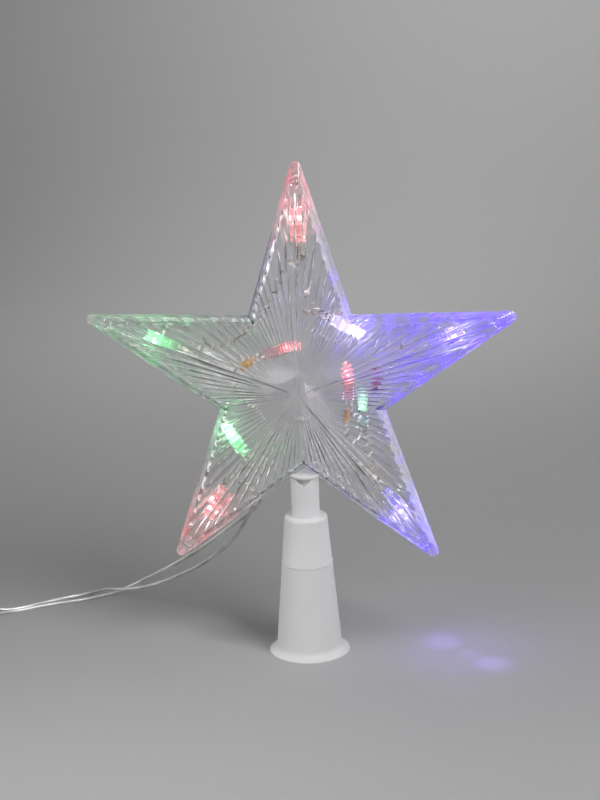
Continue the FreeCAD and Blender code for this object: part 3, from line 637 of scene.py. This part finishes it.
def cradles():
    """Grooved rib on every arm that a tip lamp's holder lies in."""
    low = (-CRADLE_WIDTH / 2.0, CRADLE_LOW, CRADLE_CIRCLE)
    high = (CRADLE_WIDTH / 2.0, CRADLE_HIGH, CRADLE_CIRCLE + CRADLE_THICK)
    groove = cylinder(CRADLE_BORE, -0.5 * MM, CRADLE_THICK + 0.5 * MM, GROOVE_STEPS, upright(CRADLE_CIRCLE))
    ribs = on_every_arm("cradle_tool", *box_solid(low, high))
    cut_or_join(ribs, on_every_arm("groove_tool", *groove), "DIFFERENCE")
    return ribs


def lead_slot():
    """Slanting slot in the seam that the two leads leave by."""
    half = [extent / 2.0 for extent in LEAD_SLOT_SIZE]
    place = Matrix.Translation(STAR_CENTRE + Vector((LEAD_SLOT[0], 0.0, LEAD_SLOT[1])))
    place = place @ Matrix.Rotation(-LEAD_SLOT_TILT, 4, "Y")
    return placed_box("slot_tool", [-extent for extent in half], half, place)


def star_shell(name, node, rear):
    """One moulded half of the star, with its halves of the foot and stub and its pins or sockets."""
    side = 1.0 if rear else -1.0
    piece = mesh_object(name, *shell_mesh(side), CLEAR, "star")
    face_outward(piece.data)
    foot = half_foot(side)
    room = cylinder(NECK_ROOM, FOOT_LOW - 8.0 * MM, FOOT_LOW - 0.01 * MM, FOOT_STEPS, upright(0.0))
    cut_or_join(piece, tool_solid("room_tool", *room), "DIFFERENCE")
    cut_or_join(piece, foot, "UNION")
    cut_or_join(piece, stub_bore(), "DIFFERENCE")
    cut_or_join(piece, pegs("boss_tool", BOSS_RADIUS, side * BOSS_LENGTH, side * SEAM_GAP), "UNION")
    if rear:
        cut_or_join(piece, pegs("pin_tool", PIN_RADIUS, 1.0 * MM, -PIN_LENGTH), "UNION")
        cut_or_join(piece, cradles(), "UNION")
    else:
        cut_or_join(piece, pegs("socket_tool", PIN_BORE, 0.5 * MM, -PIN_LENGTH - 0.2 * MM), "DIFFERENCE")
    cut_or_join(piece, lead_slot(), "DIFFERENCE")
    face_outward(piece.data)
    smooth(piece, 24.0)
    paint_glow(piece)
    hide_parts(node)


star_shell("front_shell_clear", "front_shell", False)
star_shell("rear_shell_clear", "rear_shell", True)


# ---------------------------------------------------------------- bulbs and holders
WHITE = Vector((1.0, 1.0, 1.0))


def lamp_material(name, colour, strength):
    """Clear plastic, slightly coloured, that glows evenly."""
    material = new_material(name, Base_Color=(*WHITE.lerp(colour, 0.3), 1.0), Roughness=0.08, IOR=1.5,
                            Transmission_Weight=1.0, Emission_Strength=strength,
                            Emission_Color=(*WHITE.lerp(colour, 0.85), 1.0))
    vary_roughness(material, object_noise(material, 900.0), 0.05, 0.2)
    let_shadow_rays_through(material, 0.9)
    return material


def core_material(name, colour, strength):
    """The lit chip, from the lamp's colour to nearly white."""
    pale = WHITE.lerp(colour, 0.55)
    material = new_material(name, Base_Color=(*pale, 1.0), Roughness=0.4, Emission_Strength=strength)
    vary_colour(material, object_noise(material, 1200.0), colour, pale, "Emission Color", 0.0, 1.0)
    return material


BULB_RADIUS = 2.5 * MM
BULB_FLANGE = 2.62 * MM
BULB_LENGTH = 8.6 * MM
HOLDER_RADIUS = 3.0 * MM
HOLDER_BEAD = HOLDER_RADIUS + 0.18 * MM
HOLDER_BORE = 2.7 * MM
HOLDER_POCKET = 2.2 * MM
HOLDER_BACK = 9.0 * MM


# emission of the lens, of the lit chip in it and of the socket behind it
BRIGHTNESS = {
    "tip_top": (0.3, 9.0, 0.10),
    "tip_left": (0.35, 9.0, 0.08),
    "tip_lower_left": (0.3, 9.0, 0.10),
    "tip_lower_right": (0.5, 14.0, 0.08),
    "tip_right": (0.6, 16.0, 0.10),
    "notch_left": (0.9, 14.0, 0.20),
    "notch_right": (1.0, 20.0, 0.45),
    "hub_upper": (0.17, 1.8, 0.01),
    "hub_side": (0.28, 2.8, 0.03),
    "hub_lower": (0.3, 1.8, 0.0),
}


def make_lamp(name):
    """Bulb with its lit chip, and the clear holder behind it."""
    lens_light, core_light, socket_light = BRIGHTNESS[name]
    base, direction = LAMPS[name]
    colour = LAMP_COLOURS[name]
    place = place_along(base, direction)
    dome = BULB_LENGTH - BULB_RADIUS
    profile = [(0.0, 0.05 * MM), (BULB_FLANGE - 0.15 * MM, 0.05 * MM), (BULB_FLANGE, 0.2 * MM),
               (BULB_FLANGE, 0.85 * MM), (BULB_FLANGE - 0.1 * MM, 1.0 * MM), (BULB_RADIUS, 1.05 * MM)]
    profile += arc((0.0, dome), BULB_RADIUS, 0.0, 90.0, 12)[:-1] + [(0.0, BULB_LENGTH)]
    lens = lamp_material("lens_" + name, colour, lens_light)
    bulb = lathe_object("lens_" + name, profile, 36, place, lens, "star")
    cup = [(0.0, 2.0 * MM), (0.5 * MM, 2.0 * MM), (0.9 * MM, 4.1 * MM), (0.75 * MM, 4.15 * MM)]
    cup += [(0.45 * MM, 3.7 * MM), (0.0, 3.6 * MM)]
    chip = core_material("core_" + name, colour, core_light)
    core = lathe_object("core_" + name, cup, 20, place, chip, "star")
    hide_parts("bulb_" + name)
    back = [(0.0, -HOLDER_BACK), (1.7 * MM, -HOLDER_BACK), (2.5 * MM, -HOLDER_BACK + 0.35 * MM),
            (HOLDER_RADIUS, -HOLDER_BACK + 1.4 * MM)]
    bead = [(HOLDER_RADIUS, -4.2 * MM), (HOLDER_BEAD, -4.0 * MM), (HOLDER_BEAD, -3.4 * MM),
            (HOLDER_RADIUS, -3.2 * MM)]
    lip = [(HOLDER_RADIUS, HOLDER_LIP - 0.3 * MM), (HOLDER_RADIUS - 0.12 * MM, HOLDER_LIP),
           (HOLDER_BORE, HOLDER_LIP), (HOLDER_BORE, 0.0)]
    pocket = [(HOLDER_POCKET, 0.0), (HOLDER_POCKET, -5.3 * MM), (HOLDER_POCKET - 0.3 * MM, -5.5 * MM),
              (0.0, -5.5 * MM)]
    clear = lamp_material("socket_" + name, colour, socket_light)
    tube = lathe_object("socket_" + name, back + bead + lip + pocket, 40, place, clear, "star")
    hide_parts("holder_" + name)


for lamp_name in LAMPS:
    make_lamp(lamp_name)


# ---------------------------------------------------------------- wires and sleeves
WIRE = new_material("clear_wire", Base_Color=(0.6, 0.56, 0.5, 1.0), Roughness=0.3, Metallic=0.2,
                    Coat_Weight=0.6)
add_bump(WIRE, object_noise(WIRE, 1500.0), 0.3, 0.0002)
vary_colour(WIRE, object_noise(WIRE, 520.0, 1.0), (0.16, 0.11, 0.07), (0.95, 0.91, 0.84))
AMBER = new_material("amber_sleeve", Base_Color=(0.6, 0.32, 0.08, 1.0), Roughness=0.35)
vary_colour(AMBER, object_noise(AMBER, 500.0), (0.42, 0.2, 0.05), (0.72, 0.42, 0.12))
DARK_RED = new_material("dark_red_sleeve", Base_Color=(0.3, 0.05, 0.06, 1.0), Roughness=0.35)
vary_colour(DARK_RED, object_noise(DARK_RED, 500.0), (0.2, 0.03, 0.04), (0.42, 0.09, 0.1))


def cover(node, material):
    """Material for a node that is shown as it is."""
    nodes[node].data.materials.clear()
    nodes[node].data.materials.append(material)


for node_name in nodes:
    if node_name.startswith("wire_"):
        cover(node_name, WIRE)
cover("resistor_sleeve_left", AMBER)
cover("resistor_sleeve_side", AMBER)
cover("resistor_sleeve_right", DARK_RED)


# ---------------------------------------------------------------- tree cone
NOTCH_DEPTH = 3.9 * MM
NOTCH_REACH = 14.0 * MM
CONE_STEPS = 96
# radius and height in mm, up the outside, over the neck's end and down the inside
CONE_PROFILE = [
    (18.1, 0.0), (20.0, 0.0), (20.1, 0.15), (20.1, 0.8), (19.9, 1.0), (18.6, 1.35), (17.4, 2.2),
    (16.5, 3.8), (16.3, 5.0), (12.69, 47.0), (12.86, 47.2), (12.9, 47.6), (12.84, 48.0),
    (12.55, 48.6), (10.8, 69.3), (10.72, 70.6), (10.5, 71.4), (10.1, 71.85), (9.5, 72.0),
    (7.35, 72.0), (7.08, 72.12), (7.0, 72.4), (7.0, 91.3), (6.85, 91.8), (6.5, 92.0), (5.75, 92.0),
    (5.6, 91.8), (5.6, 70.5), (8.7, 70.5), (9.1, 70.3), (9.3, 69.6), (9.3, 68.6), (14.8, 5.0),
    (15.3, 3.0),
]
CONE_PROFILE_TOP = 92.0


def cone_material():
    """Milky plastic that lets a little light through, with a faint glow painted in that evens out its
    shading.
    """
    # the emission strength is painted light: a faint even glow that lifts the cone's shaded side
    material = new_material("milky_plastic", Base_Color=(0.63, 0.63, 0.635, 1.0), Roughness=0.42, IOR=1.49,
                            Subsurface_Weight=0.35, Subsurface_Scale=0.004, Emission_Strength=0.085,
                            Subsurface_Radius=(1.0, 1.0, 1.0))
    vary_roughness(material, object_noise(material, 60.0, 3.0), 0.36, 0.5)
    add_bump(material, object_noise(material, 900.0), 0.08, 0.0002)
    return material


def tree_cone():
    """Turned hollow cone with its neck, notched at the end, shoulder, grip ring and base flange."""
    stretch = NECK_TOP / CONE_PROFILE_TOP
    points = []
    faces = []
    for radius, height in CONE_PROFILE:
        for step in range(CONE_STEPS):
            angle = 2.0 * math.pi * step / CONE_STEPS
            points.append((radius * MM * math.cos(angle), radius * MM * math.sin(angle), height * stretch))
    count = len(CONE_PROFILE)
    for row in range(count):
        below = row * CONE_STEPS
        above = (row + 1) % count * CONE_STEPS
        for step in range(CONE_STEPS):
            after = (step + 1) % CONE_STEPS
            faces.append((below + step, below + after, above + after, above + step))
    piece = mesh_object("tree_cone_turned", points, faces, cone_material(), "cone")
    face_outward(piece.data)
    place = upright(NECK_TOP - NOTCH_DEPTH) @ Matrix.Rotation(math.radians(-45.0), 4, "Y")
    notch = placed_box("notch_tool", (0.0, -NOTCH_REACH, 0.0),
                       (2.0 * NOTCH_DEPTH, NOTCH_REACH, 2.0 * NOTCH_DEPTH), place)
    cut_or_join(piece, notch, "DIFFERENCE")
    face_outward(piece.data)
    smooth(piece, 28.0)
    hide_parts("tree_cone")
    return piece


cone_piece = tree_cone()

# ---------------------------------------------------------------- leads
LEAD_DIAMETER = 1.8 * MM
LEAD_A = [
    (-0.0224, 0.0, 0.0797), (-0.0234, 0.003, 0.0766), (-0.027, 0.008, 0.0718),
    (-0.0346, 0.0156, 0.064), (-0.0446, 0.024, 0.0544), (-0.0566, 0.0346, 0.0424),
    (-0.0684, 0.0454, 0.0318), (-0.0792, 0.0548, 0.023), (-0.0894, 0.0634, 0.0152),
    (-0.098, 0.0714, 0.0084), (-0.1056, 0.0758, 0.0034), (-0.1132, 0.074, 0.00095),
    (-0.1214, 0.0674, 0.00095), (-0.13, 0.0622, 0.00095), (-0.1392, 0.0588, 0.00095),
    (-0.148, 0.0546, 0.00095), (-0.1566, 0.0489, 0.00095), (-0.1656, 0.0444, 0.00095),
    (-0.1754, 0.0406, 0.00095), (-0.1856, 0.0356, 0.00095),
]
LEAD_B = [
    (-0.0264, 0.0, 0.0767), (-0.0274, 0.0028, 0.0736), (-0.0304, 0.0084, 0.0676),
    (-0.0366, 0.0182, 0.0554), (-0.0442, 0.0282, 0.045), (-0.0528, 0.0376, 0.0356),
    (-0.0616, 0.046, 0.027), (-0.072, 0.0544, 0.0194), (-0.084, 0.0626, 0.0118),
    (-0.0956, 0.0686, 0.0062), (-0.1072, 0.0708, 0.004), (-0.1186, 0.0724, 0.0036),
    (-0.1286, 0.0708, 0.00105), (-0.1366, 0.067, 0.00095), (-0.1446, 0.0616, 0.00095),
    (-0.1528, 0.0554, 0.00095), (-0.161, 0.0498, 0.00095), (-0.1692, 0.0462, 0.0014),
    (-0.1772, 0.043, 0.0054), (-0.185, 0.038, 0.0112),
]
TAIL_A = [
    (-0.2065, 0.0296, 0.0095), (-0.2135, 0.0318, 0.0078), (-0.2195, 0.0342, 0.0069),
    (-0.226, 0.03425, 0.0069),
]
TAIL_B = [
    (-0.2065, 0.0288, 0.0195), (-0.213, 0.0296, 0.014), (-0.2195, 0.0312, 0.0085),
    (-0.226, 0.03215, 0.0069),
]
coil_low, coil_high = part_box("lead_coil_a")
COIL_CENTRE = (coil_low + coil_high) / 2.0
COIL_OUTER = (coil_high.x - coil_low.x) / 2.0 - LEAD_DIAMETER / 2.0
COIL_WIDTH = 7.4 * MM
COIL_INNER = COIL_OUTER - COIL_WIDTH
COIL_TURNS = 25
COIL_ROWS = 6
POINTS_PER_TURN = 14
ROW_CLIMB_START = 0.9
COIL_START = math.radians(-52.0)
COIL_END = math.radians(-90.0)


def coil_points(floor):
    """Turns of the put-away length: rows that spiral in and out, each a diameter above the one before."""
    sweep = 2.0 * math.pi * COIL_TURNS + (COIL_START - COIL_END)
    count = round(sweep / (2.0 * math.pi) * POINTS_PER_TURN)
    # the spline runs this share of the way out to its points
    inside = 0.75 + 0.25 * math.cos(2.0 * math.pi / POINTS_PER_TURN)
    found = []
    for step in range(count + 1):
        progress = step / count * COIL_ROWS
        row = min(COIL_ROWS - 1, int(progress))
        share = progress - row
        reach = share if row % 2 else 1.0 - share
        radius = (COIL_INNER + (COIL_OUTER - COIL_INNER) * reach) / inside
        climb = max(0.0, (share - ROW_CLIMB_START) / (1.0 - ROW_CLIMB_START)) if row < COIL_ROWS - 1 else 0.0
        angle = COIL_START - sweep * step / count
        found.append((COIL_CENTRE.x + radius * math.cos(angle), COIL_CENTRE.y + radius * math.sin(angle),
                      floor + LEAD_DIAMETER * (row + climb + 0.5)))
    return found


def lead_curve(name, points, tube_nodes, material):
    """One lead as a round curve from the star to the plug."""
    curve = bpy.data.curves.new(name, "CURVE")
    curve.dimensions = "3D"
    spline = curve.splines.new("NURBS")
    spline.points.add(len(points) - 1)
    for target, point in zip(spline.points, points):
        target.co = (*point, 1.0)
    spline.order_u = 3
    spline.use_endpoint_u = True
    spline.resolution_u = 6
    curve.bevel_depth = LEAD_DIAMETER / 2.0
    curve.bevel_resolution = 3
    piece = bpy.data.objects.new(name, curve)
    scene.collection.objects.link(piece)
    curve.materials.append(material)
    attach(piece, "star")
    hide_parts(*tube_nodes)
    return piece


LEAD = new_material("lead_insulation", Base_Color=(0.4, 0.4, 0.39, 1.0), Roughness=0.2, Metallic=0.3,
                    Coat_Weight=1.0, Transmission_Weight=0.35)
vary_colour(LEAD, object_noise(LEAD, 60.0), (0.5, 0.5, 0.49), (0.95, 0.95, 0.94))
add_bump(LEAD, object_noise(LEAD, 900.0), 0.15, 0.0002)
let_shadow_rays_through(LEAD, 0.6)
lead_a = lead_curve("lead_a", LEAD_A + coil_points(0.0) + TAIL_A,
                    ("lead_wire_a", "lead_coil_a", "lead_tail_a"), LEAD)
lead_b = lead_curve("lead_b", LEAD_B + coil_points(COIL_ROWS * LEAD_DIAMETER) + TAIL_B,
                    ("lead_wire_b", "lead_coil_b", "lead_tail_b"), LEAD)

# ---------------------------------------------------------------- plug
PLUG = new_material("plug_plastic", Base_Color=(0.8, 0.8, 0.78, 1.0), Roughness=0.4)
vary_colour(PLUG, object_noise(PLUG, 200.0), (0.76, 0.76, 0.74), (0.82, 0.82, 0.8))
METAL = new_material("plated_metal", Base_Color=(0.8, 0.78, 0.74, 1.0), Roughness=0.2, Metallic=1.0)
vary_roughness(METAL, object_noise(METAL, 600.0), 0.14, 0.3)
cover("plug_body", PLUG)
cover("plug_pins", METAL)


# ---------------------------------------------------------------- stage and light
FLOOR_HALF_WIDTH = 3.0
FLOOR_FRONT = -1.6
SWEEP_START = 0.75
SWEEP_RADIUS = 0.7
SWEEP_STEPS = 16
BACKDROP_TOP = 2.6
STAR_AIM = (0.0, 0.0, 0.14)
PATCH_SOURCE = Vector((0.072, -0.002, 0.046))
PATCH_COLOUR = (0.3, 0.2, 1.0)
WORLD_LIGHT = 0.55
WORLD_LIGHT_ON_MATT = 0.085


def make_stage():
    """Pale floor that sweeps up into a backdrop."""
    profile = [(FLOOR_FRONT, 0.0), (SWEEP_START, 0.0)]
    for step in range(1, SWEEP_STEPS + 1):
        angle = math.pi / 2.0 * step / SWEEP_STEPS
        profile.append((SWEEP_START + SWEEP_RADIUS * math.sin(angle), SWEEP_RADIUS * (1.0 - math.cos(angle))))
    profile.append((SWEEP_START + SWEEP_RADIUS, BACKDROP_TOP))
    points = []
    for y, z in profile:
        points += [(-FLOOR_HALF_WIDTH, y, z), (FLOOR_HALF_WIDTH, y, z)]
    faces = [(2 * row, 2 * row + 1, 2 * row + 3, 2 * row + 2) for row in range(len(profile) - 1)]
    mesh = bpy.data.meshes.new("floor")
    mesh.from_pydata(points, [], faces)
    floor = bpy.data.objects.new("floor", mesh)
    scene.collection.objects.link(floor)
    material = new_material("paper", Base_Color=(0.46, 0.46, 0.465, 1.0), Roughness=0.7)
    vary_roughness(material, object_noise(material, 30.0), 0.62, 0.78)
    mesh.materials.append(material)
    mesh.shade_smooth()


def add_light(name, kind, place, target, power):
    data = bpy.data.lights.new(name, kind)
    data.energy = power
    light = bpy.data.objects.new(name, data)
    scene.collection.objects.link(light)
    direction = Vector(target) - Vector(place)
    turn = direction.to_track_quat("-Z", "Y").to_matrix().to_4x4()
    light.matrix_world = Matrix.Translation(place) @ turn
    return light


def area_light(name, place, target, width, height, power, on_paper=True, spread=180.0):
    """Softbox; those not meant for the paper only show as reflections in the clear plastic."""
    light = add_light(name, "AREA", place, target, power)
    light.data.shape = "RECTANGLE"
    light.data.size = width
    light.data.size_y = height
    light.data.spread = math.radians(spread)
    light.visible_diffuse = on_paper
    return light


def floor_patch(name, target, degrees, power):
    """Patch of violet lamp light that the lower right tip throws on the floor."""
    light = add_light(name, "SPOT", PATCH_SOURCE, target, power)
    light.data.color = PATCH_COLOUR
    light.data.spot_size = math.radians(degrees)
    light.data.spot_blend = 1.0
    light.data.shadow_soft_size = 0.003


def light_only(light, piece):
    """The light falls on this one piece and on nothing else."""
    receivers = bpy.data.collections.new(light.name + "_receivers")
    receivers.objects.link(piece)
    light.light_linking.receiver_collection = receivers


def make_world():
    """White surroundings, bright in reflections and dim on matt surfaces."""
    world = bpy.data.worlds.new("studio")
    scene.world = world
    world.use_nodes = True
    tree = world.node_tree
    background = tree.nodes["Background"]
    background.inputs["Color"].default_value = (1.0, 1.0, 1.0, 1.0)
    path = tree.nodes.new("ShaderNodeLightPath")
    level = tree.nodes.new("ShaderNodeMapRange")
    level.inputs["To Min"].default_value = WORLD_LIGHT
    level.inputs["To Max"].default_value = WORLD_LIGHT_ON_MATT
    tree.links.new(path.outputs["Is Diffuse Ray"], level.inputs["Value"])
    tree.links.new(level.outputs["Result"], background.inputs["Strength"])


make_stage()
area_light("key_softbox", (0.42, -0.38, 0.64), (0.0, 0.02, 0.06), 0.36, 0.36, 3.9)
area_light("left_softbox", (-0.9, -0.75, 0.5), (0.0, 0.0, 0.1), 0.4, 0.7, 1.0)
area_light("floor_back_light", (-0.05, 0.62, 0.85), (-0.05, 0.6, 0.0), 0.3, 0.3, 0.40, spread=66.0)
area_light("floor_front_light", (-0.15, -0.22, 0.72), (-0.15, -0.2, 0.0), 0.2, 0.2, 0.14, spread=50.0)
area_light("left_panel", (-0.9, 0.1, 0.4), STAR_AIM, 0.8, 0.9, 1.9, on_paper=False)
area_light("right_panel", (0.95, 0.3, 0.45), STAR_AIM, 0.6, 0.9, 4.6, on_paper=False)
area_light("left_strip", (-0.62, 0.75, 0.4), STAR_AIM, 0.14, 0.9, 1.3, on_paper=False)
area_light("right_strip", (0.66, 0.8, 0.4), STAR_AIM, 0.14, 0.9, 1.8, on_paper=False)
area_light("top_strip", (0.0, 0.45, 0.95), STAR_AIM, 1.0, 0.2, 2.4, on_paper=False)
light_only(area_light("cone_fill", (-0.7, -0.6, 0.35), (0.0, 0.0, 0.05), 0.5, 0.5, 2.2), cone_piece)
area_light("backdrop_light", (0.3, 0.5, 1.1), (0.0, 1.3, 0.15), 0.5, 0.5, 1.62, spread=75.0)
floor_patch("floor_patch_near", (0.066, 0.012, 0.0), 32.0, 0.045)
floor_patch("floor_patch_side", (0.092, -0.017, 0.0), 24.0, 0.065)
floor_patch("floor_patch_middle", (0.080, -0.004, 0.0), 14.0, 0.03)
floor_patch("floor_patch_wide", (0.08, 0.0, 0.0), 130.0, 0.03)
make_world()

scene.view_settings.view_transform = "Standard"
scene.cycles.max_bounces = 20
scene.cycles.transmission_bounces = 20
scene.cycles.transparent_max_bounces = 12
